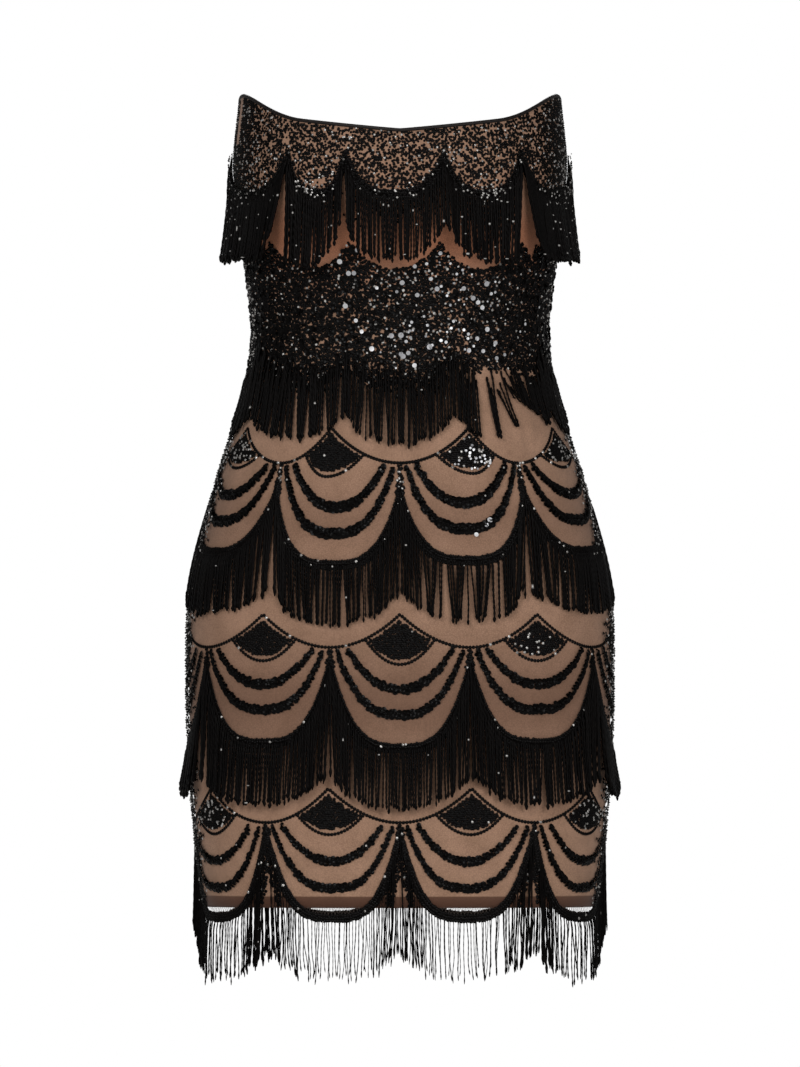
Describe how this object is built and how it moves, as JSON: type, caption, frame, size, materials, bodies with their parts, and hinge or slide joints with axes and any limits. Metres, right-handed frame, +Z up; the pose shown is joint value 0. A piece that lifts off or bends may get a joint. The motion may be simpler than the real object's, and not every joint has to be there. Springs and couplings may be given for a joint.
{
  "type": "beaded mini dress",
  "caption": "Strapless fitted mini dress in nude net over jersey, with black beaded swags and tiers of bead fringe, hollow as when worn.",
  "frame": {"origin": "on the body's axis at the height of the bust line, where the wearer holds the dress", "axes": "+Z up, the front faces -Y, +X to the right of someone looking at the front"},
  "size_m": [0.3894, 0.2631, 0.7804],
  "materials": {
    "nude_cloth": "fine net over matt jersey",
    "edge_cord": "satin-bound cord",
    "black_beads": "glass beads and cupped sequins"
  },
  "bodies": {
    "root": {"dress_front": "nude_cloth", "dress_back": "nude_cloth", "neck_edge_front": "edge_cord", "neck_edge_back": "edge_cord", "fringe_bust_front": "black_beads", "fringe_bust_back": "black_beads", "fringe_waist_front": "black_beads", "fringe_waist_back": "black_beads", "fringe_hip_front": "black_beads", "fringe_hip_back": "black_beads", "fringe_thigh_front": "black_beads", "fringe_thigh_back": "black_beads", "fringe_hem_front": "black_beads", "fringe_hem_back": "black_beads"}
  },
  "joints": []
}
